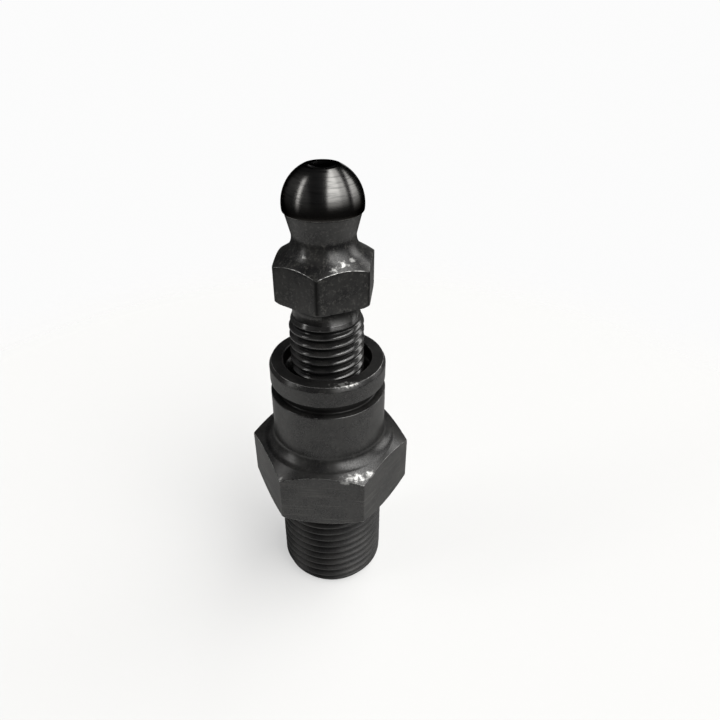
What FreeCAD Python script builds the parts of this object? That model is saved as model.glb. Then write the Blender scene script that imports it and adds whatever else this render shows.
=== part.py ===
import FreeCAD, Part
import math
import os

# Adjustable ball stud, in millimetres: a ball stud with its own hexagon and coarse thread,
# screwed into a hexagonal body that has a finer thread on its lower end.
# The body stands on its flat lower end. Z is the common axis and points up,
# and the origin is the centre of that end. Heights are above that end.

# Body: lower thread
BODY_THREAD_RADIUS = 12.45
BODY_THREAD_PITCH = 2.15
BODY_END_CHAMFER = 1.4
BODY_END_CHAMFER_HEIGHT = 2.2
BODY_SHANK_LENGTH = 26.2
BODY_UNDERCUT_WIDTH = 3.63
BODY_UNDERCUT_GAP = 0.15

# Body: hexagon
BODY_HEX_ACROSS_FLATS = 32.0
BODY_HEX_TURN = -97.5
BODY_HEX_CORNER_HEIGHT = 11.0
BODY_HEX_CORNER_ROUNDING = 0.25
BODY_HEX_SEAT_INSET = 0.4
HEX_CHAMFER_ANGLE = 30.0

# Body: collar, groove and ring above the hexagon. The collar's length starts at the hexagon's upper corners
COLLAR_LENGTH = 15.34
COLLAR_STEP_OUT = 0.05
COLLAR_FILLET = 2.4
COLLAR_EDGE = 0.2
GROOVE_DEPTH = 1.75
GROOVE_WIDTH = 2.8
RING_WALL = 3.05
RING_HEIGHT = 4.7
RING_CHAMFER = 0.5
RING_CHAMFER_HEIGHT = 1.0

# Body: mouth and bore, both wider than the stud's thread
MOUTH_ROOM = 1.75
MOUTH_DEPTH = 3.0
MOUTH_EDGE = 0.15
BORE_CLEARANCE = 0.06
BORE_END_ROOM = 1.5
DRILL_POINT_ANGLE = 118.0

# Stud: thread, which screws into the bore
STUD_THREAD_RADIUS = 7.95
STUD_THREAD_PITCH = 2.0
STUD_THREAD_LENGTH = 28.4
STUD_END_CHAMFER = 1.3
STUD_RUNOUT_CONE = 2.29
STUD_RELIEF_DEPTH = 0.87
STUD_RELIEF_LENGTH = 4.1

# Stud: hexagon, held above the body's top as the stud is screwed out
STUD_STANDOFF = 15.3
STUD_HEX_ACROSS_FLATS = 19.0
STUD_HEX_TURN = -69.2
STUD_HEX_CORNER_HEIGHT = 7.2
STUD_HEX_CORNER_ROUNDING = 0.8
STUD_HEX_LOWER_CHAMFER = 0.57
STUD_SHOULDER_ANGLE = 33.0
STUD_SHOULDER_FILLET = 3.9

# Stud: neck and ball
NECK_RADIUS = 6.39
NECK_WAIST_LENGTH = 0.3
NECK_WAIST_TO_BALL_CENTRE = 6.08
BALL_RADIUS = 7.97
BALL_EDGE_DROP = 1.0
BALL_LIP_WIDTH = 0.36
BALL_LIP_HEIGHT = 0.25
BALL_FLAT_RADIUS = 3.5
BALL_RECESS_RADIUS = 2.5
BALL_RECESS_DEPTH = 0.5

# Form shared by both threads: grooves with 60 degree flanks, and a flat crest as a share of the pitch
THREAD_FLANK_ANGLE = 30.0
THREAD_CREST_SHARE = 0.25

# Radii of the body that follow from the stud's thread
BORE_RADIUS = STUD_THREAD_RADIUS + BORE_CLEARANCE
MOUTH_RADIUS = STUD_THREAD_RADIUS + MOUTH_ROOM
RING_RADIUS = MOUTH_RADIUS + RING_WALL
GROOVE_RADIUS = RING_RADIUS - GROOVE_DEPTH
COLLAR_RADIUS = RING_RADIUS + COLLAR_STEP_OUT

# Heights of the body, from its lower end up
HEX_SLOPE = math.tan(math.radians(HEX_CHAMFER_ANGLE))
BODY_HEX_CORNER_RADIUS = BODY_HEX_ACROSS_FLATS / 2 / math.cos(math.pi / 6)
BODY_HEX_SEAT_RADIUS = BODY_HEX_ACROSS_FLATS / 2 - BODY_HEX_SEAT_INSET
BODY_HEX_LOWER_CORNER = BODY_SHANK_LENGTH + (BODY_HEX_CORNER_RADIUS - BODY_HEX_SEAT_RADIUS) * HEX_SLOPE
BODY_HEX_UPPER_CORNER = BODY_HEX_LOWER_CORNER + BODY_HEX_CORNER_HEIGHT
COLLAR_FOOT = BODY_HEX_UPPER_CORNER + (BODY_HEX_CORNER_RADIUS - COLLAR_RADIUS) * HEX_SLOPE
COLLAR_TOP = BODY_HEX_UPPER_CORNER + COLLAR_LENGTH
GROOVE_TOP = COLLAR_TOP + GROOVE_WIDTH
BODY_TOP = GROOVE_TOP + RING_HEIGHT

# Heights of the stud, from the underside of its hexagon down, and of the bore that takes it
STUD_HEX_UNDERSIDE = BODY_TOP + STUD_STANDOFF
STUD_RELIEF_BOTTOM = STUD_HEX_UNDERSIDE - STUD_RELIEF_LENGTH
STUD_THREAD_TOP = STUD_RELIEF_BOTTOM - STUD_RUNOUT_CONE
STUD_END = STUD_THREAD_TOP - STUD_THREAD_LENGTH
BORE_BOTTOM = STUD_END - STUD_STANDOFF - BORE_END_ROOM

AXIS = FreeCAD.Vector(0, 0, 1)
ORIGIN = FreeCAD.Vector(0, 0, 0)


def point(radius, height):
    """A point of a turned outline, in the XZ plane."""
    return FreeCAD.Vector(radius, 0, height)


def rounded_corner(before, corner, after, radius):
    """The two ends and the middle of the arc that rounds one corner of an outline."""
    to_before = (before - corner).normalize()
    to_after = (after - corner).normalize()
    half_angle = to_before.getAngle(to_after) / 2
    tangent = radius / math.tan(half_angle)
    inward = (to_before + to_after).normalize()
    centre = corner + inward * (radius / math.sin(half_angle))
    start = corner + to_before * tangent
    end = corner + to_after * tangent
    middle = centre - inward * radius
    return start, middle, end


def turned(outline):
    """Revolve an outline about Z. It runs from the axis to the axis, and each entry is
    (radius, height), or (radius, height, fillet) where the corner is rounded,
    or a middle and an end point, each (radius, height), for an arc."""
    edges = []
    place = point(*outline[0])
    for index, entry in enumerate(outline[1:], start=1):
        if isinstance(entry[0], tuple):
            middle, end = point(*entry[0]), point(*entry[1])
            edges.append(Part.Arc(place, middle, end).toShape())
            place = end
        elif len(entry) == 3:
            following = point(*outline[index + 1][:2])
            start, middle, end = rounded_corner(place, point(*entry[:2]), following, entry[2])
            edges.append(Part.makeLine(place, start))
            edges.append(Part.Arc(start, middle, end).toShape())
            place = end
        else:
            end = point(*entry)
            edges.append(Part.makeLine(place, end))
            place = end
    edges.append(Part.makeLine(place, point(*outline[0])))
    face = Part.Face(Part.Wire(edges))
    return face.revolve(ORIGIN, AXIS, 360)


def hexagon_bar(across_flats, turn, rounding, height):
    """A hexagonal bar on the Z axis, with rounded corners. turn is the angle of its first corner
    from the front, -Y."""
    corner_radius = across_flats / 2 / math.cos(math.pi / 6)
    corners = []
    for number in range(7):
        angle = math.radians(turn + 60 * number)
        corners.append(FreeCAD.Vector(corner_radius * math.sin(angle), -corner_radius * math.cos(angle), 0))
    bar = Part.Face(Part.makePolygon(corners)).extrude(AXIS * height)
    upright = [edge for edge in bar.Edges if edge.BoundBox.ZLength > height / 2]
    return bar.makeFillet(rounding, upright)


def thread_depth(pitch):
    """How deep a groove of this pitch is, from the crest to the bottom of the V."""
    half_groove = (pitch - THREAD_CREST_SHARE * pitch) / 2
    return half_groove / math.tan(math.radians(THREAD_FLANK_ANGLE))


def thread_outline(radius, pitch, bottom, top):
    """The outline of a threaded shank from the bottom up, as V grooves side by side under a top crest.
    Whole grooves are laid from the top down, and what is left below them stays plain."""
    depth = thread_depth(pitch)
    crest = THREAD_CREST_SHARE * pitch
    half_groove = (pitch - crest) / 2
    count = math.floor((top - crest - bottom) / pitch)
    corners = []
    for number in range(count, 0, -1):
        middle = top - pitch * number + half_groove
        corners.append((radius, middle - half_groove))
        corners.append((radius - depth, middle))
        corners.append((radius, middle + half_groove))
    corners.append((radius, top))
    return corners


def hex_body():
    undercut_radius = BODY_THREAD_RADIUS - thread_depth(BODY_THREAD_PITCH) - BODY_UNDERCUT_GAP
    undercut_step = BODY_THREAD_RADIUS - undercut_radius
    undercut_bottom = BODY_SHANK_LENGTH - BODY_UNDERCUT_WIDTH
    thread_top = undercut_bottom - undercut_step
    drill_rise = BORE_RADIUS / math.tan(math.radians(DRILL_POINT_ANGLE / 2))
    mouth_floor = BODY_TOP - MOUTH_DEPTH
    mouth_cone = MOUTH_RADIUS - BORE_RADIUS
    outline = [
        (0, 0),
        (BODY_THREAD_RADIUS - BODY_END_CHAMFER, 0),
        (BODY_THREAD_RADIUS, BODY_END_CHAMFER_HEIGHT),
        *thread_outline(BODY_THREAD_RADIUS, BODY_THREAD_PITCH, BODY_END_CHAMFER_HEIGHT, thread_top),
        (undercut_radius, undercut_bottom),
        (undercut_radius, BODY_SHANK_LENGTH),
        (BODY_HEX_SEAT_RADIUS, BODY_SHANK_LENGTH),
        (BODY_HEX_CORNER_RADIUS, BODY_HEX_LOWER_CORNER),
        (BODY_HEX_CORNER_RADIUS, BODY_HEX_UPPER_CORNER),
        (COLLAR_RADIUS, COLLAR_FOOT, COLLAR_FILLET),
        (COLLAR_RADIUS, COLLAR_TOP - COLLAR_EDGE),
        (COLLAR_RADIUS - COLLAR_EDGE, COLLAR_TOP),
        (GROOVE_RADIUS, COLLAR_TOP),
        (GROOVE_RADIUS, GROOVE_TOP),
        (RING_RADIUS, GROOVE_TOP),
        (RING_RADIUS, BODY_TOP - RING_CHAMFER_HEIGHT),
        (RING_RADIUS - RING_CHAMFER, BODY_TOP),
        (MOUTH_RADIUS + MOUTH_EDGE, BODY_TOP),
        (MOUTH_RADIUS, BODY_TOP - MOUTH_EDGE),
        (MOUTH_RADIUS, mouth_floor),
        (BORE_RADIUS, mouth_floor - mouth_cone),
        (BORE_RADIUS, BORE_BOTTOM),
        (0, BORE_BOTTOM - drill_rise),
    ]
    bar = hexagon_bar(BODY_HEX_ACROSS_FLATS, BODY_HEX_TURN, BODY_HEX_CORNER_ROUNDING, BODY_TOP)
    return turned(outline).common(bar)


def ball_stud():
    relief_radius = STUD_THREAD_RADIUS - STUD_RELIEF_DEPTH
    corner_radius = STUD_HEX_ACROSS_FLATS / 2 / math.cos(math.pi / 6)
    lower_corner = STUD_HEX_UNDERSIDE + STUD_HEX_LOWER_CHAMFER * HEX_SLOPE
    upper_corner = lower_corner + STUD_HEX_CORNER_HEIGHT
    neck_foot = upper_corner + (corner_radius - NECK_RADIUS) * math.tan(math.radians(STUD_SHOULDER_ANGLE))
    neck_waist = neck_foot + STUD_SHOULDER_FILLET / math.tan(math.radians((90 + STUD_SHOULDER_ANGLE) / 2))
    ball_centre = neck_waist + NECK_WAIST_TO_BALL_CENTRE
    edge_radius = math.sqrt(BALL_RADIUS**2 - BALL_EDGE_DROP**2)
    flat_height = math.sqrt(BALL_RADIUS**2 - BALL_FLAT_RADIUS**2)
    outline = [
        (0, STUD_END),
        (STUD_THREAD_RADIUS - STUD_END_CHAMFER, STUD_END),
        (STUD_THREAD_RADIUS, STUD_END + STUD_END_CHAMFER),
        *thread_outline(STUD_THREAD_RADIUS, STUD_THREAD_PITCH, STUD_END + STUD_END_CHAMFER, STUD_THREAD_TOP),
        (relief_radius, STUD_RELIEF_BOTTOM),
        (relief_radius, STUD_HEX_UNDERSIDE),
        (corner_radius - STUD_HEX_LOWER_CHAMFER, STUD_HEX_UNDERSIDE),
        (corner_radius, lower_corner),
        (corner_radius, upper_corner),
        (NECK_RADIUS, neck_foot, STUD_SHOULDER_FILLET),
        (NECK_RADIUS, neck_waist + NECK_WAIST_LENGTH),
        (edge_radius - BALL_LIP_WIDTH, ball_centre - BALL_EDGE_DROP - BALL_LIP_HEIGHT),
        (edge_radius, ball_centre - BALL_EDGE_DROP),
        ((BALL_RADIUS, ball_centre), (BALL_FLAT_RADIUS, ball_centre + flat_height)),
        (BALL_RECESS_RADIUS, ball_centre + flat_height),
        (0, ball_centre + flat_height - BALL_RECESS_DEPTH),
    ]
    top = ball_centre + BALL_RADIUS
    bar = hexagon_bar(STUD_HEX_ACROSS_FLATS, STUD_HEX_TURN, STUD_HEX_CORNER_ROUNDING, top)
    return turned(outline).common(bar)


def main():
    os.makedirs("parts", exist_ok=True)
    pieces = {"hex_body": hex_body(), "ball_stud": ball_stud()}
    for name, shape in pieces.items():
        solid = shape.Solids[0]
        print(name, "solids", len(shape.Solids), "valid", shape.isValid(), "volume", round(solid.Volume, 1))
        solid.exportStep("parts/" + name + ".step")


main()
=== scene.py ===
import math

import bpy
from mathutils import Matrix, Vector


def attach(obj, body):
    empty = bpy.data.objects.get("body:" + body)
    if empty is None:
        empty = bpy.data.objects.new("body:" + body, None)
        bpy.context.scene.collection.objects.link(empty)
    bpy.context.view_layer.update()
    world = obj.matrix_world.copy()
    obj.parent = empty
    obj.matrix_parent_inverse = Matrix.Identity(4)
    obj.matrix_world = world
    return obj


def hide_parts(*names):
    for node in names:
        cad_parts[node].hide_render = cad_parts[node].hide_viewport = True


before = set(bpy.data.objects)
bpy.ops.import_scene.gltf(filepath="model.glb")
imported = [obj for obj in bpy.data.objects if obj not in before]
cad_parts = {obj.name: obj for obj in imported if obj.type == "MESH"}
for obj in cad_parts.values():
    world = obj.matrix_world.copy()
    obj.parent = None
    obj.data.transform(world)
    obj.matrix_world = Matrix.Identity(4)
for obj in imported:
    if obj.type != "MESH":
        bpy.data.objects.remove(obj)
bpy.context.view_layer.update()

MM = 0.001

# Sizes of the body, in millimetres. Heights are above its flat lower end
BODY_THREAD_RADIUS = 12.45
BODY_THREAD_PITCH = 2.15
BODY_THREAD_CREST_HEIGHT = 20.75
BODY_END_RADIUS = 11.05
BODY_END_CHAMFER_HEIGHT = 2.2
BODY_UNDERCUT_RADIUS = 10.904
BODY_UNDERCUT_BOTTOM = 22.57
BODY_HEX_UNDERSIDE = 26.2
BODY_HEX_ACROSS_FLATS = 32.0
BODY_HEX_SEAT_RADIUS = 15.6
BODY_HEX_TURN = -97.5
BODY_HEX_CORNER_HEIGHT = 11.0
COLLAR_RADIUS = 12.8
COLLAR_TOP = 54.2
COLLAR_FILLET = 2.6
LAND_RADIUS = 15.2
LAND_ANGLE = 14.0
GROOVE_RADIUS = 11.0
GROOVE_TOP = 57.0
RING_RADIUS = 12.75
RING_TOP = 61.7
RING_CHAMFER = 0.5
RING_CHAMFER_HEIGHT = 1.0
MOUTH_RADIUS = 9.7
MOUTH_FLOOR = 58.7
BORE_RADIUS = 8.01
BORE_BOTTOM = 25.41
DRILL_TIP = 20.6

# Sizes of the stud, in millimetres. Heights are above the body's flat lower end
STUD_END = 42.21
STUD_END_CHAMFER = 1.3
STUD_THREAD_RADIUS = 7.95
STUD_THREAD_PITCH = 2.0
STUD_THREAD_CREST_HEIGHT = 70.36
STUD_THREAD_TOP = 70.61
STUD_RELIEF_BOTTOM = 72.9
STUD_RELIEF_RADIUS = 7.08
STUD_HEX_UNDERSIDE = 77.0
STUD_HEX_ACROSS_FLATS = 19.0
STUD_HEX_SEAT_RADIUS = 10.4
STUD_HEX_TURN = -69.2
STUD_HEX_CORNER_HEIGHT = 7.2
STUD_SHOULDER_ANGLE = 33.0
STUD_SHOULDER_FILLET = 3.9
NECK_RADIUS = 6.39
NECK_FILLET = 3.0
NECK_STRAIGHT = 0.3
BALL_RADIUS = 7.97
BALL_CENTRE = 95.7
BALL_EDGE_DROP = 1.0
BALL_LIP_WIDTH = 0.36
BALL_LIP_HEIGHT = 0.25
BALL_FLAT_RADIUS = 3.5
BALL_RECESS_RADIUS = 2.5
BALL_RECESS_DEPTH = 0.5

# Form of both threads, and of the hexagons' chamfers
THREAD_FLANK_ANGLE = 30.0
THREAD_CREST_SHARE = 0.2
THREAD_ROOT_SHARE = 0.12
THREAD_EDGE_WIDTH = 0.08
THREAD_EDGE_DROP = 0.1
THREAD_FLANK_INSET = 0.3
HEX_CHAMFER_ANGLE = 30.0

# How finely the pieces are turned: columns go round the axis, and are closest at the hexagon's
# corners. Arc steps are in degrees, and roundings and supports in millimetres
COLUMNS = 240
CORNER_CROWDING = 0.72
ARC_STEP = 15.0
LARGE_ARC_STEP = 3.5
LARGE_ROUNDING = 1.0
BALL_STEPS = 48
SPAN_SHARE = 0.98
SUPPORTS = (1.0, 0.35, 0.12)
SUPPORT_ROOM = 2.2

# Points closer than this, in metres, become one
MERGE_DISTANCE = 0.000002

# Knocks in worn edges: about how many to a metre, and how deep in millimetres at most
KNOCK_SCALE = 900.0
KNOCK_DEPTH = 0.04

# How far the painted shade on the ring's top stays from its edges, in millimetres
RING_SHADE_INSET = 0.35


# Outline of a turned piece

class Outline:
    """Points of a turned outline, from one end of the axis to the other. Each holds a radius and a height,
    how far it follows the hexagon in (pull) and along its chamfers (lift), whether it belongs to the
    thread's helix (twist), and one value for wear and painted shade: above zero it is how worn the point
    is, below zero how much shade is painted on it."""

    def __init__(self):
        self.points = []

    def add(self, radius, height, pull=0.0, lift=0.0, twist=0.0, wear_and_shade=0.0):
        self.points.append((radius, height, pull, lift, twist, wear_and_shade))

    def line(self, corners):
        """Straight stretches through corners, each (radius, height, pull, lift, wear and painted shade,
        rounding radius).
        A corner is rounded by an arc, with supporting points on each side where there is room."""
        spans = [(Vector(b[:2]) - Vector(a[:2])).length for a, b in zip(corners, corners[1:])]
        tangents = [0.0]
        for before, corner, after in zip(corners, corners[1:], corners[2:]):
            wanted = corner[5] / math.tan(self.half_angle(before, corner, after)) if corner[5] else 0.0
            tangents.append(wanted)
        tangents.append(0.0)
        for index, span in enumerate(spans):
            total = tangents[index] + tangents[index + 1]
            if total > SPAN_SHARE * span:
                tangents[index] *= SPAN_SHARE * span / total
                tangents[index + 1] *= SPAN_SHARE * span / total
        for index, corner in enumerate(corners):
            if tangents[index] == 0:
                self.add(corner[0], corner[1], corner[2], corner[3], 0.0, corner[4])
                continue
            room = [spans[side] - tangents[side] - tangents[side + 1] for side in (index - 1, index)]
            self.rounded(corners[index - 1], corner, corners[index + 1], tangents[index], room)

    def half_angle(self, before, corner, after):
        here = Vector(corner[:2])
        return (Vector(before[:2]) - here).angle(Vector(after[:2]) - here) / 2

    def rounded(self, before, corner, after, tangent, room):
        here = Vector(corner[:2])
        back = Vector(before[:2]) - here
        ahead = Vector(after[:2]) - here
        half = self.half_angle(before, corner, after)
        radius = tangent * math.tan(half)
        inward = (back.normalized() + ahead.normalized()).normalized()
        centre = here + inward * (radius / math.sin(half))
        start = here + back.normalized() * tangent - centre
        end = here + ahead.normalized() * tangent - centre
        sweep = start.angle(end)
        arc_step = LARGE_ARC_STEP if radius > LARGE_ROUNDING else ARC_STEP
        steps = max(2, math.ceil(math.degrees(sweep) / arc_step))
        turn = 1 if start.cross(end) > 0 else -1
        pull, lift, wear_and_shade = corner[2:5]
        for distance in SUPPORTS:
            if room[0] > SUPPORT_ROOM * distance:
                self.between(before, corner, tangent, distance, room[0])
        for step in range(steps + 1):
            angle = turn * sweep * step / steps
            spoke = Vector((
                start.x * math.cos(angle) - start.y * math.sin(angle),
                start.x * math.sin(angle) + start.y * math.cos(angle),
            ))
            place = centre + spoke
            middle = 1 - abs(2 * step / steps - 1) * 0.5
            self.add(place.x, place.y, pull, lift, 0.0, wear_and_shade * middle)
        for distance in reversed(SUPPORTS):
            if room[1] > SUPPORT_ROOM * distance:
                self.between(after, corner, tangent, distance, room[1])

    def between(self, far, corner, tangent, distance, room):
        """A point a distance past the corner's arc, on the straight stretch towards far. Its pull and
        lift change along the straight part alone, so that the rows don't fold over the arc."""
        away = Vector(far[:2]) - Vector(corner[:2])
        place = Vector(corner[:2]) + away.normalized() * (tangent + distance)
        pull, lift = (corner[i] + (far[i] - corner[i]) * distance / room for i in (2, 3))
        # A corner's painted shade carries on to its supporting points; its wear does not.
        self.add(place.x, place.y, pull, lift, 0.0, min(0.0, corner[4]))

    def thread(self, radius, pitch, crest_height, bottom, top, crest_wear, flank_shade, root_shade):
        """Rows of a screw thread that reach at least a pitch past each end. The turning cuts them
        off there."""
        crest = THREAD_CREST_SHARE * pitch / 2
        root = THREAD_ROOT_SHARE * pitch / 2
        depth = (pitch / 2 - crest - root) / math.tan(math.radians(THREAD_FLANK_ANGLE))
        half = pitch / 2
        # Crests carry wear; flanks and roots carry painted shade, given as values below zero
        turn = [
            (-crest, 0.0, crest_wear),
            (-crest * 0.5, 0.0, 0.7 * crest_wear),
            (crest * 0.5, 0.0, 0.7 * crest_wear),
            (crest, 0.0, crest_wear),
            (crest + THREAD_EDGE_WIDTH, THREAD_EDGE_DROP, 0.6 * crest_wear),
            (crest + THREAD_FLANK_INSET, 0.0, -flank_shade),
            (half - root - THREAD_FLANK_INSET, 0.0, -flank_shade),
            (half - root, depth, -root_shade),
            (half + root, depth, -root_shade),
            (half + root + THREAD_FLANK_INSET, 0.0, -flank_shade),
            (pitch - crest - THREAD_FLANK_INSET, 0.0, -flank_shade),
            (pitch - crest - THREAD_EDGE_WIDTH, THREAD_EDGE_DROP, 0.6 * crest_wear),
        ]
        first = math.floor((bottom - crest_height) / pitch) - 2
        last = math.ceil((top - crest_height) / pitch) + 1
        for number in range(first, last):
            for rise, given_depth, wear_and_shade in turn:
                along = min(rise, pitch - rise)
                flank = (along - crest) / math.tan(math.radians(THREAD_FLANK_ANGLE))
                sink = given_depth if given_depth else max(0.0, min(depth, flank))
                self.add(radius - sink, crest_height + number * pitch + rise, 0.0, 0.0, 1.0, wear_and_shade)


def hexagon_corner_radius(across_flats):
    return across_flats / 2 / math.cos(math.pi / 6)


def body_outline():
    slope = math.tan(math.radians(HEX_CHAMFER_ANGLE))
    corner = hexagon_corner_radius(BODY_HEX_ACROSS_FLATS)
    lower = BODY_HEX_UNDERSIDE + (corner - BODY_HEX_SEAT_RADIUS) * slope
    upper = lower + BODY_HEX_CORNER_HEIGHT
    land = upper + (corner - LAND_RADIUS) * slope
    foot = land + (LAND_RADIUS - COLLAR_RADIUS) * math.tan(math.radians(LAND_ANGLE))
    outline = Outline()
    outline.add(0, 0)
    outline.add(BODY_END_RADIUS * 0.5, 0)
    outline.add(BODY_END_RADIUS - 0.2, 0)
    outline.add(BODY_END_RADIUS, 0, wear_and_shade=0.6)
    # The lower thread: light crest wear, and painted shade on its flanks and in its roots
    outline.thread(
        BODY_THREAD_RADIUS, BODY_THREAD_PITCH, BODY_THREAD_CREST_HEIGHT, 0, BODY_UNDERCUT_BOTTOM,
        0.15, 0.13, 0.35)
    outline.line([
        # Painted shade in the undercut under the large hexagon
        (BODY_UNDERCUT_RADIUS, BODY_UNDERCUT_BOTTOM, 0, 0, -0.2, 0),
        (BODY_UNDERCUT_RADIUS, BODY_HEX_UNDERSIDE, 0, 0, -0.2, 0.3),
        (BODY_HEX_SEAT_RADIUS, BODY_HEX_UNDERSIDE, 0, 0, 0.6, 0.1),
        (corner, lower, 1, -1, 1.0, 0.16),
        (corner, upper, 1, 1, 1.0, 0.16),
        (LAND_RADIUS, land, 0, 0, 0, 0.9),
        (COLLAR_RADIUS, foot, 0, 0, 0, COLLAR_FILLET),
        (COLLAR_RADIUS, COLLAR_TOP, 0, 0, 0.65, 0.22),
        # Painted shade in the groove
        (GROOVE_RADIUS, COLLAR_TOP, 0, 0, -0.2, 0.2),
        (GROOVE_RADIUS, GROOVE_TOP, 0, 0, -0.2, 0.2),
        (RING_RADIUS, GROOVE_TOP, 0, 0, 0.8, 0.12),
        (RING_RADIUS, RING_TOP - RING_CHAMFER_HEIGHT, 0, 0, 0.8, 0.12),
        (RING_RADIUS - RING_CHAMFER, RING_TOP, 0, 0, 1.0, 0.12),
        # Painted shade on the ring's flat top, kept off its edges
        (RING_RADIUS - RING_CHAMFER - RING_SHADE_INSET, RING_TOP, 0, 0, -0.14, 0),
        (MOUTH_RADIUS + RING_SHADE_INSET, RING_TOP, 0, 0, -0.17, 0),
        (MOUTH_RADIUS, RING_TOP, 0, 0, 0.7, 0.15),
        (MOUTH_RADIUS, MOUTH_FLOOR, 0, 0, 0, 0.1),
        (BORE_RADIUS, MOUTH_FLOOR - MOUTH_RADIUS + BORE_RADIUS, 0, 0, 0.3, 0.08),
        (BORE_RADIUS, BORE_BOTTOM, 0, 0, 0, 0),
        (0, DRILL_TIP, 0, 0, 0, 0),
    ])
    return outline


def stud_outline():
    slope = math.tan(math.radians(HEX_CHAMFER_ANGLE))
    corner = hexagon_corner_radius(STUD_HEX_ACROSS_FLATS)
    lower = STUD_HEX_UNDERSIDE + (corner - STUD_HEX_SEAT_RADIUS) * slope
    upper = lower + STUD_HEX_CORNER_HEIGHT
    foot = upper + (corner - NECK_RADIUS) * math.tan(math.radians(STUD_SHOULDER_ANGLE))
    half_angle = math.radians((90 + STUD_SHOULDER_ANGLE) / 2)
    waist = foot + STUD_SHOULDER_FILLET / math.tan(half_angle) + NECK_STRAIGHT
    edge_radius = math.sqrt(BALL_RADIUS**2 - BALL_EDGE_DROP**2)
    edge_height = BALL_CENTRE - BALL_EDGE_DROP
    flat_height = BALL_CENTRE + math.sqrt(BALL_RADIUS**2 - BALL_FLAT_RADIUS**2)
    end_radius = STUD_THREAD_RADIUS - STUD_END_CHAMFER
    outline = Outline()
    outline.add(0, STUD_END)
    outline.add(end_radius * 0.5, STUD_END)
    outline.add(end_radius, STUD_END)
    # The stud's thread: worn crests, and painted shade in its roots
    outline.thread(
        STUD_THREAD_RADIUS, STUD_THREAD_PITCH, STUD_THREAD_CREST_HEIGHT, STUD_END, STUD_RELIEF_BOTTOM,
        0.5, 0.0, 0.5)
    outline.line([
        # Painted shade in the relief under the small hexagon
        (STUD_RELIEF_RADIUS, STUD_RELIEF_BOTTOM, 0, 0, -0.27, 0),
        (STUD_RELIEF_RADIUS, STUD_HEX_UNDERSIDE, 0, 0, -0.27, 0.4),
        (STUD_HEX_SEAT_RADIUS, STUD_HEX_UNDERSIDE, 0, 0, 0, 0.1),
        (corner, lower, 1, -1, 0.7, 0.15),
        (corner, upper, 1, 1, 1.0, 0.2),
        (NECK_RADIUS, foot, 0, 0, 0, STUD_SHOULDER_FILLET),
        (NECK_RADIUS, waist, 0, 0, 0, NECK_FILLET),
        (edge_radius - BALL_LIP_WIDTH, edge_height - BALL_LIP_HEIGHT, 0, 0, 0, 0.1),
        (edge_radius, edge_height, 0, 0, 1.0, 0.06),
        (edge_radius + 0.02, edge_height + 0.15, 0, 0, 0.3, 0),
    ])
    start = math.atan2(0.3 - BALL_EDGE_DROP, edge_radius)
    end = math.acos(BALL_FLAT_RADIUS / BALL_RADIUS)
    for step in range(BALL_STEPS + 1):
        angle = start + (end - start) * step / BALL_STEPS
        outline.add(BALL_RADIUS * math.cos(angle), BALL_CENTRE + BALL_RADIUS * math.sin(angle))
    outline.add(BALL_FLAT_RADIUS - 0.12, flat_height)
    outline.add(BALL_RECESS_RADIUS, flat_height)
    outline.add(BALL_RECESS_RADIUS - 0.2, flat_height - 0.1)
    outline.add(BALL_RECESS_RADIUS * 0.5, flat_height - BALL_RECESS_DEPTH * 0.7)
    outline.add(0, flat_height - BALL_RECESS_DEPTH)
    return outline


# Turning: a geometry tree that spins an outline about Z, with its hexagon and its thread

OUTLINE_VALUES = ("radius", "height", "pull", "lift", "twist", "wear_and_shade")


def outline_object(name, outline):
    mesh = bpy.data.meshes.new(name)
    mesh.from_pydata([(0, 0, 0)] * len(outline.points), [], [])
    for index, value_name in enumerate(OUTLINE_VALUES):
        layer = mesh.attributes.new(value_name, "FLOAT", "POINT")
        scale = MM if value_name in ("radius", "height") else 1.0
        layer.data.foreach_set("value", [point[index] * scale for point in outline.points])
    made = bpy.data.objects.new(name, mesh)
    bpy.context.scene.collection.objects.link(made)
    return made


class Tree:
    """Short names for the nodes that a geometry or shader tree is built from."""

    def __init__(self, tree):
        self.tree = tree

    def node(self, kind, **settings):
        made = self.tree.nodes.new(kind)
        for name, value in settings.items():
            setattr(made, name, value)
        return made

    def feed(self, socket, value):
        if isinstance(value, bpy.types.NodeSocket):
            self.tree.links.new(value, socket)
        else:
            socket.default_value = value

    def math(self, operation, *values):
        made = self.node("ShaderNodeMath", operation=operation)
        for socket, value in zip(made.inputs, values):
            self.feed(socket, value)
        return made.outputs[0]

    def clamp(self, value, low, high):
        return self.math("MAXIMUM", self.math("MINIMUM", value, high), low)


LATHE_INPUTS = (
    ("Columns", "NodeSocketInt"), ("Rows", "NodeSocketInt"), ("Corner Crowding", "NodeSocketFloat"),
    ("Hexagon Corner Radius", "NodeSocketFloat"), ("Hexagon Turn", "NodeSocketFloat"),
    ("Corner Rounding", "NodeSocketFloat"), ("Corner Reach", "NodeSocketFloat"),
    ("Corner Wear And Shade", "NodeSocketFloat"), ("Lower Chamfer Slope", "NodeSocketFloat"),
    ("Upper Chamfer Slope", "NodeSocketFloat"), ("Thread Pitch", "NodeSocketFloat"),
    ("Thread Bottom", "NodeSocketFloat"), ("Thread Top", "NodeSocketFloat"),
    ("Hexagon Underside", "NodeSocketFloat"),
    ("Bottom Radius", "NodeSocketFloat"), ("Bottom Cone", "NodeSocketFloat"),
    ("Top Radius", "NodeSocketFloat"), ("Top Cone", "NodeSocketFloat"),
    ("Edge Damage", "NodeSocketFloat"), ("Material", "NodeSocketMaterial"),
)


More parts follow.
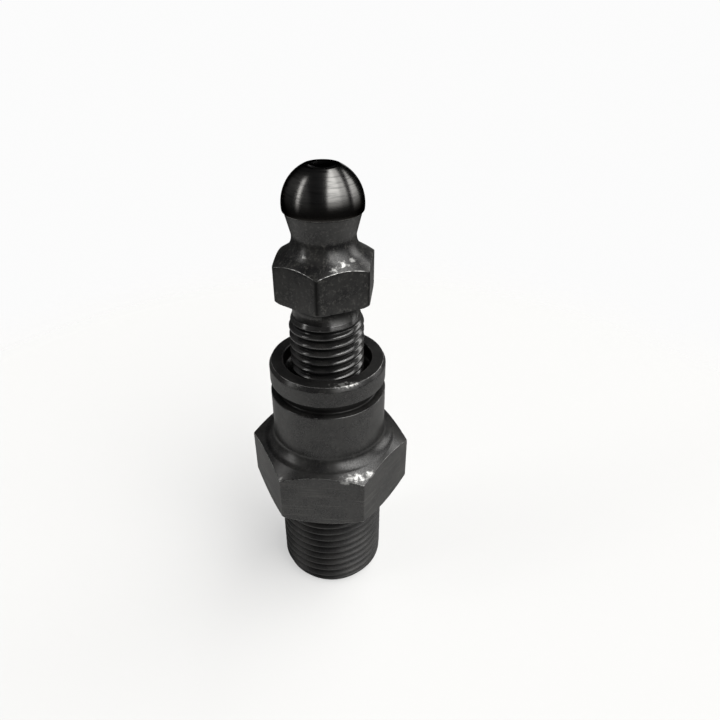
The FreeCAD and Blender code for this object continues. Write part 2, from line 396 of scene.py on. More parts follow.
def lathe_tree():
    """Turns the outline stored on the modified object's points. Rows run along the outline and
    columns round the axis. A row with pull follows the hexagon's flats, one with lift slides along
    its chamfers, and one with twist climbs one pitch in a turn, cut off at the thread's ends and
    by their cones."""
    group = bpy.data.node_groups.new("turned_with_hexagon_and_thread", "GeometryNodeTree")
    group.interface.new_socket("Geometry", in_out="INPUT", socket_type="NodeSocketGeometry")
    for name, kind in LATHE_INPUTS:
        group.interface.new_socket(name, in_out="INPUT", socket_type=kind)
    group.interface.new_socket("Geometry", in_out="OUTPUT", socket_type="NodeSocketGeometry")
    t = Tree(group)
    given = t.node("NodeGroupInput").outputs

    columns_plus = t.math("ADD", given["Columns"], 1)
    grid = t.node("GeometryNodeMeshGrid")
    t.feed(grid.inputs["Vertices X"], columns_plus)
    t.feed(grid.inputs["Vertices Y"], given["Rows"])

    index = t.node("GeometryNodeInputIndex").outputs[0]
    column = t.math("FLOOR", t.math("DIVIDE", t.math("ADD", index, 0.5), given["Rows"]))
    row = t.math("SUBTRACT", index, t.math("MULTIPLY", column, given["Rows"]))

    def drawn(name):
        named = t.node("GeometryNodeInputNamedAttribute", data_type="FLOAT")
        named.inputs["Name"].default_value = name
        sample = t.node("GeometryNodeSampleIndex", data_type="FLOAT", domain="POINT")
        t.feed(sample.inputs["Geometry"], given["Geometry"])
        t.feed(sample.inputs["Value"], named.outputs["Attribute"])
        t.feed(sample.inputs["Index"], row)
        return sample.outputs["Value"]

    radius, height, pull = drawn("radius"), drawn("height"), drawn("pull")
    lift, twist, wear_and_shade = drawn("lift"), drawn("twist"), drawn("wear_and_shade")

    # Angle round the axis from the hexagon's first corner, with the columns crowded towards each corner
    per_sector = t.math("DIVIDE", given["Columns"], 6)
    share = t.math("DIVIDE", column, per_sector)
    wave = t.math("SINE", t.math("MULTIPLY", share, math.tau))
    crowd = t.math("MULTIPLY", wave, t.math("DIVIDE", given["Corner Crowding"], math.tau))
    sectors = t.math("SUBTRACT", share, crowd)
    turned = t.math("MULTIPLY", sectors, math.pi / 3)
    angle = t.math("ADD", turned, given["Hexagon Turn"])

    # Distance that the hexagon's flat lies inside its corner circle, at this angle
    from_corner = t.math("MULTIPLY", t.math("SUBTRACT", sectors, t.math("ROUND", sectors)), math.pi / 3)
    off_middle = t.math("SUBTRACT", math.pi / 6, t.math("ABSOLUTE", from_corner))
    flat = t.math("MULTIPLY", given["Hexagon Corner Radius"], math.cos(math.pi / 6))
    on_flat = t.math("DIVIDE", flat, t.math("COSINE", off_middle))
    corner_cut = t.math("MULTIPLY", given["Corner Rounding"], 0.6)
    corner_limit = t.math("SUBTRACT", given["Hexagon Corner Radius"], corner_cut)
    smooth = t.node("ShaderNodeMath", operation="SMOOTH_MIN")
    t.feed(smooth.inputs[0], on_flat)
    t.feed(smooth.inputs[1], corner_limit)
    t.feed(smooth.inputs[2], given["Corner Rounding"])
    inside = t.math("SUBTRACT", given["Hexagon Corner Radius"], smooth.outputs[0])

    going_up = t.math("MULTIPLY", t.math("MAXIMUM", lift, 0.0), given["Upper Chamfer Slope"])
    going_down = t.math("MULTIPLY", t.math("MINIMUM", lift, 0.0), given["Lower Chamfer Slope"])
    slide = t.math("MULTIPLY", inside, t.math("ADD", going_up, going_down))

    turns = t.math("DIVIDE", angle, math.tau)
    climb = t.math("MULTIPLY", t.math("MULTIPLY", twist, given["Thread Pitch"]), turns)
    slid_height = t.math("ADD", height, slide)
    under = t.node("GeometryNodeSwitch", input_type="FLOAT")
    t.feed(under.inputs["Switch"], t.math("LESS_THAN", lift, 0.0))
    t.feed(under.inputs["False"], slid_height)
    t.feed(under.inputs["True"], t.math("MAXIMUM", slid_height, given["Hexagon Underside"]))
    free_height = t.math("ADD", under.outputs[0], climb)
    cut_height = t.clamp(free_height, given["Thread Bottom"], given["Thread Top"])
    is_thread = t.math("GREATER_THAN", twist, 0.5)
    switch = t.node("GeometryNodeSwitch", input_type="FLOAT")
    t.feed(switch.inputs["Switch"], is_thread)
    t.feed(switch.inputs["False"], free_height)
    t.feed(switch.inputs["True"], cut_height)
    final_height = switch.outputs[0]

    over_bottom = t.math("SUBTRACT", final_height, given["Thread Bottom"])
    under_top = t.math("SUBTRACT", given["Thread Top"], final_height)
    bottom_widening = t.math("MULTIPLY", over_bottom, given["Bottom Cone"])
    bottom_cone = t.math("ADD", given["Bottom Radius"], bottom_widening)
    top_cone = t.math("ADD", given["Top Radius"], t.math("MULTIPLY", under_top, given["Top Cone"]))
    thread_radius = t.math("MINIMUM", radius, t.math("MINIMUM", bottom_cone, top_cone))
    pulled_radius = t.math("SUBTRACT", radius, t.math("MULTIPLY", pull, inside))
    plain_radius = t.math("MINIMUM", pulled_radius, smooth.outputs[0])
    choose = t.node("GeometryNodeSwitch", input_type="FLOAT")
    t.feed(choose.inputs["Switch"], is_thread)
    t.feed(choose.inputs["False"], plain_radius)
    t.feed(choose.inputs["True"], thread_radius)
    final_radius = choose.outputs[0]

    place = t.node("ShaderNodeCombineXYZ")
    t.feed(place.inputs[0], t.math("MULTIPLY", final_radius, t.math("SINE", angle)))
    minus = t.math("MULTIPLY", final_radius, -1.0)
    t.feed(place.inputs[1], t.math("MULTIPLY", minus, t.math("COSINE", angle)))
    t.feed(place.inputs[2], final_height)

    # Wear and painted shade: the value drawn on the outline, and the hexagon's upright corners, which are
    # worn on the body and carry a painted dark line on the stud
    away = t.math("DIVIDE", t.math("ABSOLUTE", from_corner), given["Corner Reach"])
    near_corner = t.math("SUBTRACT", 1.0, away)
    on_wall = ramp(t, pull, 0.93, 1.0)
    upright = t.math("MULTIPLY", t.math("MAXIMUM", near_corner, 0.0), on_wall)
    all_wear_and_shade = t.math("ADD", wear_and_shade, t.math("MULTIPLY", upright, given["Corner Wear And Shade"]))
    store = t.node("GeometryNodeStoreNamedAttribute", data_type="FLOAT", domain="POINT")
    store.inputs["Name"].default_value = "worn_and_shaded"
    t.feed(store.inputs["Geometry"], grid.outputs["Mesh"])
    t.feed(store.inputs["Value"], all_wear_and_shade)

    set_place = t.node("GeometryNodeSetPosition")
    t.feed(set_place.inputs["Geometry"], store.outputs["Geometry"])
    t.feed(set_place.inputs["Position"], place.outputs[0])
    merge = t.node("GeometryNodeMergeByDistance")
    t.feed(merge.inputs["Geometry"], set_place.outputs["Geometry"])
    merge.inputs["Distance"].default_value = MERGE_DISTANCE

    # Small knocks that push the worn edges inwards
    damage = t.node("ShaderNodeTexNoise")
    damage.inputs["Scale"].default_value = KNOCK_SCALE
    damage.inputs["Detail"].default_value = 2.0
    t.feed(damage.inputs["Vector"], t.node("GeometryNodeInputPosition").outputs[0])
    named_wear_and_shade = t.node("GeometryNodeInputNamedAttribute", data_type="FLOAT")
    named_wear_and_shade.inputs["Name"].default_value = "worn_and_shaded"
    bare_wear = t.math("MAXIMUM", named_wear_and_shade.outputs["Attribute"], 0.0)
    knocks = t.math("MULTIPLY", damage.outputs["Fac"], given["Edge Damage"])
    depth = t.math("MULTIPLY", knocks, bare_wear)
    inward = t.node("ShaderNodeVectorMath", operation="SCALE")
    t.feed(inward.inputs[0], t.node("GeometryNodeInputNormal").outputs[0])
    t.feed(inward.inputs["Scale"], t.math("MULTIPLY", depth, -1.0))
    knock = t.node("GeometryNodeSetPosition")
    t.feed(knock.inputs["Geometry"], merge.outputs["Geometry"])
    t.feed(knock.inputs["Offset"], inward.outputs[0])

    realize = t.node("GeometryNodeRealizeInstances")
    t.feed(realize.inputs["Geometry"], knock.outputs["Geometry"])
    paint = t.node("GeometryNodeSetMaterial")
    t.feed(paint.inputs["Geometry"], realize.outputs["Geometry"])
    t.feed(paint.inputs["Material"], given["Material"])
    t.feed(t.node("NodeGroupOutput").inputs["Geometry"], paint.outputs["Geometry"])
    return group


def turn_piece(name, outline, tree, material, sizes):
    """A finished mesh from an outline: the tree runs once, and its result is kept as plain mesh."""
    drawn = outline_object(name + "_outline", outline)
    modifier = drawn.modifiers.new("lathe", "NODES")
    modifier.node_group = tree
    sockets = {item.name: item.identifier for item in tree.interface.items_tree if item.in_out == "INPUT"}
    values = {"Columns": COLUMNS, "Rows": len(outline.points), "Corner Crowding": CORNER_CROWDING}
    values.update(sizes)
    values["Material"] = material
    for socket_name, value in values.items():
        modifier[sockets[socket_name]] = value
    drawn.update_tag()
    graph = bpy.context.evaluated_depsgraph_get()
    graph.update()
    mesh = bpy.data.meshes.new_from_object(drawn.evaluated_get(graph), depsgraph=graph)
    mesh.name = name
    drawn.modifiers.remove(modifier)
    bpy.data.objects.remove(drawn)
    mesh.materials.clear()
    mesh.materials.append(material)
    mesh.polygons.foreach_set("use_smooth", [True] * len(mesh.polygons))
    made = bpy.data.objects.new(name, mesh)
    bpy.context.scene.collection.objects.link(made)
    return made


# Shader groups that the steels share

def shader_group(name, inputs, outputs):
    group = bpy.data.node_groups.new(name, "ShaderNodeTree")
    for socket_name, kind, value in inputs:
        socket = group.interface.new_socket(socket_name, in_out="INPUT", socket_type=kind)
        if value is not None:
            socket.default_value = value
    for socket_name, kind in outputs:
        group.interface.new_socket(socket_name, in_out="OUTPUT", socket_type=kind)
    t = Tree(group)
    return group, t, t.node("NodeGroupInput").outputs, t.node("NodeGroupOutput").inputs


def noise(t, vector, scale, detail=3.0, roughness=0.55):
    made = t.node("ShaderNodeTexNoise")
    t.feed(made.inputs["Vector"], vector)
    t.feed(made.inputs["Scale"], scale)
    made.inputs["Detail"].default_value = detail
    made.inputs["Roughness"].default_value = roughness
    return made.outputs["Fac"]


def ramp(t, value, low, high, low_out=0.0, high_out=1.0):
    made = t.node("ShaderNodeMapRange", interpolation_type="SMOOTHSTEP")
    t.feed(made.inputs["Value"], value)
    t.feed(made.inputs["From Min"], low)
    t.feed(made.inputs["From Max"], high)
    t.feed(made.inputs["To Min"], low_out)
    t.feed(made.inputs["To Max"], high_out)
    return made.outputs["Result"]


def object_parts(t):
    """X, Y and Z of the point that is shaded, on the piece itself."""
    parts = t.node("ShaderNodeSeparateXYZ")
    t.feed(parts.inputs[0], t.node("ShaderNodeTexCoord").outputs["Object"])
    return parts.outputs


def mottling_group():
    """Cloudy patches, fine grain and lighter flecks of a blackened surface, each from 0 to 1."""
    group, t, given, out = shader_group("mottling", [
        ("Cloud Scale", "NodeSocketFloat", 220.0), ("Grain Scale", "NodeSocketFloat", 4200.0),
        ("Fleck Scale", "NodeSocketFloat", 1300.0),
    ], [("Clouds", "NodeSocketFloat"), ("Grain", "NodeSocketFloat"), ("Flecks", "NodeSocketFloat")])
    place = t.node("ShaderNodeTexCoord").outputs["Object"]
    t.feed(out["Clouds"], ramp(t, noise(t, place, given["Cloud Scale"], 4.0), 0.3, 0.7))
    t.feed(out["Grain"], noise(t, place, given["Grain Scale"], 2.0))
    t.feed(out["Flecks"], ramp(t, noise(t, place, given["Fleck Scale"], 5.0, 0.7), 0.5, 0.72))
    return group


def turning_marks_group():
    """Fine rings left by turning or grinding, across the axis, from 0 to 1."""
    group, t, given, out = shader_group("turning_marks", [
        ("Lines per Metre", "NodeSocketFloat", 9000.0), ("Breakup", "NodeSocketFloat", 60.0),
    ], [("Marks", "NodeSocketFloat")])
    stretched = t.node("ShaderNodeCombineXYZ")
    stretches = (given["Breakup"], given["Breakup"], given["Lines per Metre"])
    for socket, part, stretch in zip(stretched.inputs, object_parts(t), stretches):
        t.feed(socket, t.math("MULTIPLY", part, stretch))
    t.feed(out["Marks"], noise(t, stretched.outputs[0], 1.0, 2.0))
    return group


def edge_wear_and_shade_group():
    """Where an edge has lost its black finish, broken up by noise, and a painted shade mask. The piece's
    own value gives both: it is above zero where metal shows, and below zero where shade is painted."""
    group, t, given, out = shader_group("edge_wear_and_painted_shade", [
        ("Amount", "NodeSocketFloat", 0.5), ("Scale", "NodeSocketFloat", 500.0),
    ], [("Bare", "NodeSocketFloat"), ("Painted Shade", "NodeSocketFloat")])
    worn_and_shaded = t.node("ShaderNodeAttribute", attribute_name="worn_and_shaded").outputs["Fac"]
    place = t.node("ShaderNodeTexCoord").outputs["Object"]
    patches = noise(t, place, given["Scale"], 4.0, 0.7)
    total = t.math("ADD", t.math("MULTIPLY", worn_and_shaded, given["Amount"]), t.math("SUBTRACT", patches, 0.5))
    t.feed(out["Bare"], t.math("MULTIPLY", ramp(t, total, 0.42, 0.62), ramp(t, worn_and_shaded, 0.3, 0.7)))
    # Painted shade where the value is below zero: in recesses, thread roots and on faces whose reflections
    # are dark
    t.feed(out["Painted Shade"], ramp(t, worn_and_shaded, -0.06, -0.3))
    return group


def bare_patch_group():
    """A scuffed patch round a point of the piece, broken into flakes."""
    group, t, given, out = shader_group("bare_patch", [
        ("Middle", "NodeSocketVector", None), ("Reach", "NodeSocketVector", None),
        ("Flake Scale", "NodeSocketFloat", 1300.0),
    ], [("Bare", "NodeSocketFloat")])
    place = t.node("ShaderNodeTexCoord").outputs["Object"]
    offset = t.node("ShaderNodeVectorMath", operation="SUBTRACT")
    t.feed(offset.inputs[0], place)
    t.feed(offset.inputs[1], given["Middle"])
    share = t.node("ShaderNodeVectorMath", operation="DIVIDE")
    t.feed(share.inputs[0], offset.outputs[0])
    t.feed(share.inputs[1], given["Reach"])
    length = t.node("ShaderNodeVectorMath", operation="LENGTH")
    t.feed(length.inputs[0], share.outputs[0])
    closeness = t.math("SUBTRACT", 1.0, length.outputs["Value"])
    flakes = t.math("SUBTRACT", noise(t, place, given["Flake Scale"], 4.0, 0.65), 0.5)
    total = t.math("ADD", t.math("MULTIPLY", closeness, 0.35), flakes)
    t.feed(out["Bare"], t.math("MULTIPLY", ramp(t, total, 0.1, 0.4), ramp(t, closeness, 0.0, 0.3)))
    return group


def use_group(t, group, **values):
    made = t.node("ShaderNodeGroup", node_tree=group)
    for name, value in values.items():
        t.feed(made.inputs[name.replace("_", " ")], value)
    return made.outputs


def mixed(t, share, first, second, colour=True):
    made = t.node("ShaderNodeMix", data_type="RGBA" if colour else "FLOAT")
    a, b, result = (6, 7, 2) if colour else (2, 3, 0)
    t.feed(made.inputs[0], share)
    t.feed(made.inputs[a], first)
    t.feed(made.inputs[b], second)
    return made.outputs[result]


# Colours of the finishes, and of the painted shade
BLACK = (0.0025, 0.0025, 0.0027, 1)
BLACK_LIGHT = (0.013, 0.0127, 0.0122, 1)
BARE_STEEL = (0.27, 0.27, 0.265, 1)
BALL_STEEL = (0.09, 0.089, 0.087, 1)
# Painted shade on the ball's foot and on its flat top; the top's colour also darkens the ball's scratches
BALL_FOOT_SHADE = (0.03, 0.028, 0.026, 1)
BALL_TOP_SHADE_AND_SCRATCHES = (0.03, 0.03, 0.03, 1)
FLECK = (0.042, 0.041, 0.038, 1)
# Near-black painted shade
PAINTED_SHADE = (0.002, 0.002, 0.002, 1)

# Marks per metre of height, and how deep fine marks are, in metres
FINE_MARKS = 5000.0
GRINDING_LINES = 2400.0
BALL_MARKS = 9000.0
BALL_SCRATCHES = 3200.0
MARK_DEPTH = 0.00005

# How far up from the large hexagon's underside its grinding lines go, in millimetres
GROUND_HEIGHT = 13.0

# Scuffed patches: middle and reach in millimetres
BODY_PATCHES = (
    ((6.0, -15.6, 39.9), (5.6, 2.2, 1.5)),
    ((8.6, -14.6, 39.9), (2.4, 1.7, 1.2)),
    ((3.2, -16.2, 39.6), (3.0, 1.2, 1.0)),
    ((-11.0, -14.2, 39.2), (0.8, 0.8, 0.6)),
    ((4.8, -11.4, 61.6), (6.0, 1.8, 0.7)),
    ((-6.5, -11.0, 61.6), (1.3, 1.0, 0.8)),
)
STUD_PATCHES = (
    ((3.4, -7.5, 86.3), (1.9, 1.5, 1.0)),
    ((5.2, -5.8, 86.6), (1.2, 1.1, 0.6)),
    ((1.9, -8.7, 85.9), (1.7, 1.1, 0.9)),
    ((-4.0, -5.8, 87.4), (0.9, 0.9, 0.7)),
)


def empty_material(name):
    material = bpy.data.materials.new(name)
    material.use_nodes = True
    t = Tree(material.node_tree)
    t.tree.nodes.clear()
    principled = t.node("ShaderNodeBsdfPrincipled")
    t.feed(t.node("ShaderNodeOutputMaterial").inputs["Surface"], principled.outputs[0])
    return material, t, principled.inputs


def bumped(t, height, strength):
    bump = t.node("ShaderNodeBump")
    bump.inputs["Strength"].default_value = strength
    bump.inputs["Distance"].default_value = MARK_DEPTH
    t.feed(bump.inputs["Height"], height)
    return bump.outputs[0]


def blackened_steel(name, groups, gloss_roughness, gloss_index, cloud_scale, flecks, ground_below, patches):
    """Blackened steel with an oily gloss, clouds, flecks, fine marks, bare worn edges and scuffed patches,
    and grinding lines below a height, with painted shade in recesses and on faces whose reflections are
    dark. Painted shade takes the gloss off, and so does a steep angle."""
    material, t, surface = empty_material(name)
    mottle = use_group(t, groups["mottling"], Cloud_Scale=cloud_scale)
    marks = use_group(t, groups["marks"], Lines_per_Metre=FINE_MARKS)["Marks"]
    edge_wear_and_shade = use_group(t, groups["wear_and_shade"], Amount=0.62)
    bare = edge_wear_and_shade["Bare"]
    for middle, reach in patches:
        middle, reach = Vector(middle) * MM, Vector(reach) * MM
        patch = use_group(t, groups["patch"], Middle=middle, Reach=reach)
        bare = t.math("MAXIMUM", bare, patch["Bare"])
    black = mixed(t, mottle["Clouds"], BLACK, BLACK_LIGHT)
    black = mixed(t, t.math("MULTIPLY", mottle["Flecks"], flecks), black, FLECK)
    lines = use_group(t, groups["marks"], Lines_per_Metre=GRINDING_LINES, Breakup=90.0)["Marks"]
    ground = ramp(t, object_parts(t)[2], (ground_below + 0.3) * MM, (ground_below - 0.3) * MM)
    black = mixed(t, t.math("MULTIPLY", ground, ramp(t, lines, 0.55, 0.68, 0.0, 0.42)), black, FLECK)
    # Painted shade: near-black where the outline's value is below zero
    black = mixed(t, edge_wear_and_shade["Painted Shade"], black, PAINTED_SHADE)
    t.feed(surface["Base Color"], mixed(t, bare, black, BARE_STEEL))
    t.feed(surface["Metallic"], bare)
    t.feed(surface["Roughness"], mixed(t, bare, 0.6, 0.3, colour=False))
    surface["Specular IOR Level"].default_value = 0.05
    weight = t.node("ShaderNodeLayerWeight")
    weight.inputs["Blend"].default_value = 0.5
    face_on = ramp(t, weight.outputs["Facing"], 0.3, 0.8, 1.0, 0.28)
    unshaded_unworn = t.math("SUBTRACT", 1.0, t.math("MAXIMUM", edge_wear_and_shade["Painted Shade"], bare))
    grain = ramp(t, mottle["Grain"], 0.35, 0.7, 0.6, 1.0)
    t.feed(surface["Coat Weight"], t.math("MULTIPLY", grain, t.math("MULTIPLY", unshaded_unworn, face_on)))
    surface["Coat Roughness"].default_value = gloss_roughness
    surface["Coat IOR"].default_value = gloss_index
    height = t.math("ADD", t.math("MULTIPLY", mottle["Grain"], 0.7), marks)
    t.feed(surface["Normal"], bumped(t, height, 0.4))
    return material


def polished_steel(name, groups):
    """The ball: dark ground steel with fine marks and scratches round it, with painted shade at its foot
    and on its flat top."""
    material, t, surface = empty_material(name)
    marks = use_group(t, groups["marks"], Lines_per_Metre=BALL_MARKS, Breakup=150.0)["Marks"]
    bare = use_group(t, groups["wear_and_shade"], Amount=0.9)["Bare"]
    x, y, z = object_parts(t)
    # Painted shade: darker towards the ball's foot and on its flat top
    above_foot_shade = ramp(t, z, (BALL_CENTRE - 0.5) * MM, (BALL_CENTRE + 3.4) * MM)
    square = t.math("ADD", t.math("POWER", x, 2.0), t.math("POWER", y, 2.0))
    across = t.math("POWER", square, 0.5)
    in_top_shade = ramp(t, across, (BALL_FLAT_RADIUS + 0.05) * MM, (BALL_FLAT_RADIUS - 0.1) * MM)
    steel = mixed(t, in_top_shade, mixed(t, above_foot_shade, BALL_FOOT_SHADE, BALL_STEEL), BALL_TOP_SHADE_AND_SCRATCHES)
    scratches = use_group(t, groups["marks"], Lines_per_Metre=BALL_SCRATCHES, Breakup=260.0)["Marks"]
    steel = mixed(t, ramp(t, scratches, 0.45, 0.7, 0.0, 0.55), steel, BALL_TOP_SHADE_AND_SCRATCHES)
    t.feed(surface["Base Color"], mixed(t, bare, steel, BARE_STEEL))
    surface["Metallic"].default_value = 1.0
    surface["Specular Tint"].default_value = (0.25, 0.25, 0.25, 1)
    t.feed(surface["Roughness"], mixed(t, marks, 0.08, 0.28, colour=False))
    t.feed(surface["Normal"], bumped(t, marks, 0.16))
    return material


# Camera at the photo's angle

CAMERA_PLACE = Vector((0.0, -110.44, 131.70)) * MM
CAMERA_PITCH = 32.82
CAMERA_YAW = 3.69
CAMERA_ROLL = 0.31
CAMERA_LENS = 29.855
CAMERA_SENSOR = 36.0


def camera():
    pitch, yaw, roll = (math.radians(v) for v in (CAMERA_PITCH, CAMERA_YAW, CAMERA_ROLL))
    ahead = Vector((math.sin(yaw) * math.cos(pitch), math.cos(yaw) * math.cos(pitch), -math.sin(pitch)))
    level = Vector((math.cos(yaw), -math.sin(yaw), 0.0))
    above = level.cross(ahead)
    right = level * math.cos(roll) + above * math.sin(roll)
    up = above * math.cos(roll) - level * math.sin(roll)
    data = bpy.data.cameras.new("camera")
    data.sensor_width = CAMERA_SENSOR
    data.lens = CAMERA_LENS
    data.clip_start = 0.005
    data.clip_end = 100
    made = bpy.data.objects.new("camera", data)
    turn = Matrix((right, up, -ahead)).transposed()
    made.matrix_world = Matrix.Translation(CAMERA_PLACE) @ turn.to_4x4()
    bpy.context.scene.collection.objects.link(made)
    bpy.context.scene.camera = made
    bpy.context.scene.view_settings.view_transform = "Standard"


# Floor and light: a dim room with soft bright panels, given by direction

FLOOR_HALF = 0.3
FLOOR_FADE = (0.12, 0.21)
FLOOR_SHEERNESS = 0.5
FLOOR_COLOUR = (0.57, 0.57, 0.565, 1)


def floor():
    """A plain pale floor that melts into the pale backdrop. The camera sees half through it, so that
    its shadow is light."""
    mesh = bpy.data.meshes.new("floor")
    corners = [(-FLOOR_HALF, -FLOOR_HALF, 0), (FLOOR_HALF, -FLOOR_HALF, 0), (FLOOR_HALF, FLOOR_HALF, 0),
               (-FLOOR_HALF, FLOOR_HALF, 0)]
    mesh.from_pydata(corners, [], [(0, 1, 2, 3)])
    material = bpy.data.materials.new("floor")
    material.use_nodes = True
    principled = material.node_tree.nodes["Principled BSDF"]
    principled.inputs["Base Color"].default_value = FLOOR_COLOUR
    principled.inputs["Roughness"].default_value = 0.9
    principled.inputs["Specular IOR Level"].default_value = 0.1
    t = Tree(material.node_tree)
    away = t.node("ShaderNodeVectorMath", operation="LENGTH")
    t.feed(away.inputs[0], t.node("ShaderNodeTexCoord").outputs["Object"])
    blend = t.node("ShaderNodeMixShader")
    camera_ray = t.node("ShaderNodeLightPath").outputs["Is Camera Ray"]
    seen_through = t.math("MULTIPLY", camera_ray, FLOOR_SHEERNESS)
    faded = ramp(t, away.outputs["Value"], FLOOR_FADE[0], FLOOR_FADE[1])
    t.feed(blend.inputs[0], t.math("MAXIMUM", faded, seen_through))
    t.feed(blend.inputs[1], principled.outputs[0])
    t.feed(blend.inputs[2], t.node("ShaderNodeBsdfTransparent").outputs[0])
    t.feed(t.tree.nodes["Material Output"].inputs["Surface"], blend.outputs[0])
    mesh.materials.append(material)
    made = bpy.data.objects.new("floor", mesh)
    bpy.context.scene.collection.objects.link(made)


DAYLIGHT = (1.0, 0.99, 0.97)

# How far back and overhead a direction leans is this much of its y and z
LEAN = (0.6, 0.8)
LEAN_SOFTNESS = 0.12
NO_LIMIT = 2.0

# Panels of light, by direction. Each lies right of one upright plane and left of another, given by
# the plane's normal (x, y) and its offset. It brightens between two heights and ends at its limit of
# lean. Then come its soft edge and its strength
PANELS = {
    "window": ((1.0, 0.0, 0.2), (0.811, 0.585, 0.61), (-0.15, 0.75), NO_LIMIT, 0.05, 4.2),
    "window_core": ((1.0, 0.0, 0.22), (0.9, 0.436, 0.42), (-0.1, 0.85), NO_LIMIT, 0.06, 3.6),
    "right_strip": ((0.811, 0.585, 0.79), (0.472, 0.881, 0.84), (-0.3, 0.5), NO_LIMIT, 0.03, 5.0),
    "left_strip": ((0.763, -0.646, -0.60), (0.763, -0.646, -0.46), (-0.3, 0.3), 0.7, 0.03, 5.4),
    "left_glow": ((1.0, 0.0, -0.95), (1.0, 0.0, -0.6), (-0.4, 0.4), NO_LIMIT, 0.1, 0.2),
}
ROOM_COLOUR = (0.07, 0.07, 0.073)
HORIZON_COLOUR = (0.09, 0.09, 0.09)
HORIZON_HEIGHT = 0.35
BACKDROP_COLOUR = (0.97, 0.97, 0.97, 1)


def room():
    world = bpy.data.worlds.new("room")
    bpy.context.scene.world = world
    world.use_nodes = True
    t = Tree(world.node_tree)
    t.tree.nodes.clear()
    parts = t.node("ShaderNodeSeparateXYZ")
    t.feed(parts.inputs[0], t.node("ShaderNodeTexCoord").outputs["Generated"])
    x, y, z = parts.outputs

    def along(normal_x, normal_y):
        return t.math("ADD", t.math("MULTIPLY", x, normal_x), t.math("MULTIPLY", y, normal_y))

    total = 0.0
    leaning = t.math("ADD", t.math("MULTIPLY", y, LEAN[0]), t.math("MULTIPLY", z, LEAN[1]))
    for left, right, heights, lean_limit, softness, strength in PANELS.values():
        past_left = ramp(t, along(left[0], left[1]), left[2] - softness, left[2] + softness)
        before_right = ramp(t, along(right[0], right[1]), right[2] + softness, right[2] - softness)
        inside = t.math("MULTIPLY", past_left, before_right)
        inside = t.math("MULTIPLY", inside, ramp(t, z, heights[0], heights[1]))
        if lean_limit < NO_LIMIT:
            in_front = ramp(t, leaning, lean_limit + LEAN_SOFTNESS, lean_limit - LEAN_SOFTNESS)
            inside = t.math("MULTIPLY", inside, in_front)
        total = t.math("ADD", total, t.math("MULTIPLY", inside, strength))
    light = t.node("ShaderNodeVectorMath", operation="SCALE")
    light.inputs[0].default_value = DAYLIGHT
    t.feed(light.inputs["Scale"], total)
    add = t.node("ShaderNodeVectorMath", operation="ADD")
    t.feed(add.inputs[0], light.outputs[0])
    walls = t.node("ShaderNodeMix", data_type="VECTOR")
    t.feed(walls.inputs[0], ramp(t, z, HORIZON_HEIGHT, 0.0))
    walls.inputs[4].default_value = ROOM_COLOUR
    walls.inputs[5].default_value = HORIZON_COLOUR
    t.feed(add.inputs[1], walls.outputs[1])
    camera_ray = t.node("ShaderNodeLightPath").outputs["Is Camera Ray"]
    seen = mixed(t, camera_ray, add.outputs[0], BACKDROP_COLOUR)
    background = t.node("ShaderNodeBackground")
    t.feed(background.inputs["Color"], seen)
    t.feed(t.node("ShaderNodeOutputWorld").inputs["Surface"], background.outputs[0])


# Making

def finish_faces(piece, material, chosen):
    """Another finish for the faces whose middles are chosen."""
    piece.data.materials.append(material)
    slot = len(piece.data.materials) - 1
    for face in piece.data.polygons:
        if chosen(face.center):
            face.material_index = slot


camera()
floor()
room()
groups = {"mottling": mottling_group(), "marks": turning_marks_group(), "wear_and_shade": edge_wear_and_shade_group(),
          "patch": bare_patch_group()}
body_steel = blackened_steel(
    "body_steel", groups, gloss_roughness=0.26, gloss_index=1.46, cloud_scale=180.0, flecks=0.3,
    ground_below=BODY_HEX_UNDERSIDE + GROUND_HEIGHT, patches=BODY_PATCHES)
stud_steel = blackened_steel(
    "stud_steel", groups, gloss_roughness=0.26, gloss_index=1.44, cloud_scale=260.0, flecks=1.0,
    ground_below=0.0, patches=STUD_PATCHES)
body_thread_steel = blackened_steel(
    "matt_thread_steel", groups, gloss_roughness=0.42, gloss_index=1.36, cloud_scale=180.0, flecks=0.0,
    ground_below=0.0, patches=())
stud_thread_steel = blackened_steel(
    "oiled_thread_steel", groups, gloss_roughness=0.16, gloss_index=1.66, cloud_scale=260.0, flecks=0.0,
    ground_below=0.0, patches=())
ball_steel = polished_steel("ball_steel", groups)

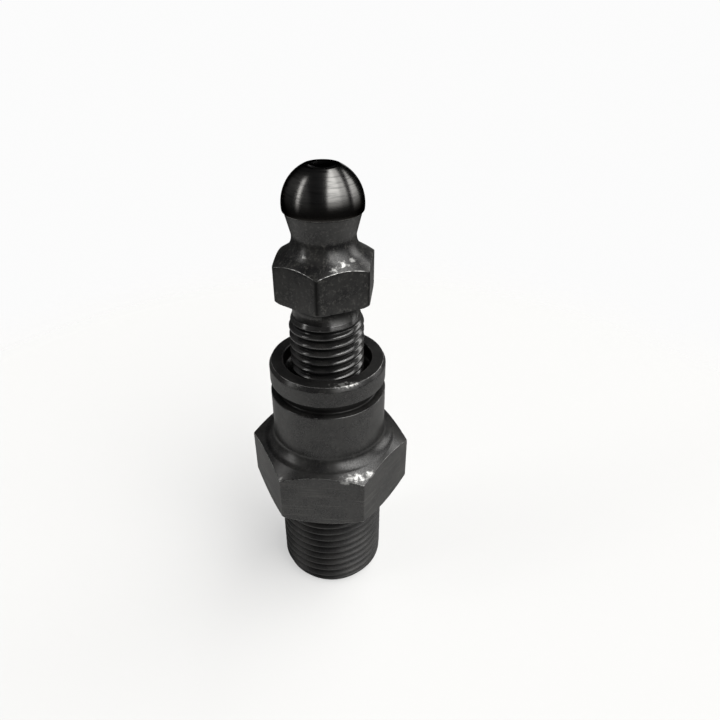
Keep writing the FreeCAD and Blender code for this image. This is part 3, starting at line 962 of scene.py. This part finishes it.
lathe = lathe_tree()
chamfer_slope = math.tan(math.radians(HEX_CHAMFER_ANGLE))
body = turn_piece("hex_body_turned", body_outline(), lathe, body_steel, {
    "Hexagon Corner Radius": hexagon_corner_radius(BODY_HEX_ACROSS_FLATS) * MM,
    "Hexagon Turn": math.radians(BODY_HEX_TURN),
    "Corner Rounding": 0.065 * MM,
    "Corner Reach": 0.02,
    "Corner Wear And Shade": 0.35,
    "Lower Chamfer Slope": chamfer_slope,
    "Upper Chamfer Slope": chamfer_slope,
    "Thread Pitch": BODY_THREAD_PITCH * MM,
    "Thread Bottom": 0.0,
    "Hexagon Underside": BODY_HEX_UNDERSIDE * MM,
    "Thread Top": BODY_UNDERCUT_BOTTOM * MM,
    "Bottom Radius": BODY_END_RADIUS * MM,
    "Bottom Cone": (BODY_THREAD_RADIUS - BODY_END_RADIUS) / BODY_END_CHAMFER_HEIGHT,
    "Top Radius": BODY_UNDERCUT_RADIUS * MM,
    "Top Cone": 1.0,
    "Edge Damage": KNOCK_DEPTH * MM,
})
finish_faces(body, body_thread_steel, lambda place: (
    place.z < BODY_HEX_UNDERSIDE * MM and place.xy.length > BODY_END_RADIUS * 0.9 * MM))
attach(body, "body")
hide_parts("hex_body")

stud = turn_piece("ball_stud_turned", stud_outline(), lathe, stud_steel, {
    "Hexagon Corner Radius": hexagon_corner_radius(STUD_HEX_ACROSS_FLATS) * MM,
    "Hexagon Turn": math.radians(STUD_HEX_TURN),
    "Corner Rounding": 0.2 * MM,
    "Corner Reach": 0.1,
    # Painted shade: a dark line down each corner of the small hexagon
    "Corner Wear And Shade": -0.25,
    "Lower Chamfer Slope": chamfer_slope,
    "Upper Chamfer Slope": math.tan(math.radians(STUD_SHOULDER_ANGLE)),
    "Thread Pitch": STUD_THREAD_PITCH * MM,
    "Thread Bottom": STUD_END * MM,
    "Hexagon Underside": STUD_HEX_UNDERSIDE * MM,
    "Thread Top": STUD_RELIEF_BOTTOM * MM,
    "Bottom Radius": (STUD_THREAD_RADIUS - STUD_END_CHAMFER) * MM,
    "Bottom Cone": 1.0,
    "Top Radius": STUD_RELIEF_RADIUS * MM,
    "Top Cone": (STUD_THREAD_RADIUS - STUD_RELIEF_RADIUS) / (STUD_RELIEF_BOTTOM - STUD_THREAD_TOP),
    "Edge Damage": KNOCK_DEPTH * MM,
})
finish_faces(stud, ball_steel, lambda place: place.z > (BALL_CENTRE - BALL_EDGE_DROP) * MM)
finish_faces(stud, stud_thread_steel, lambda place: place.z < STUD_RELIEF_BOTTOM * MM)
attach(stud, "stud")
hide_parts("ball_stud")
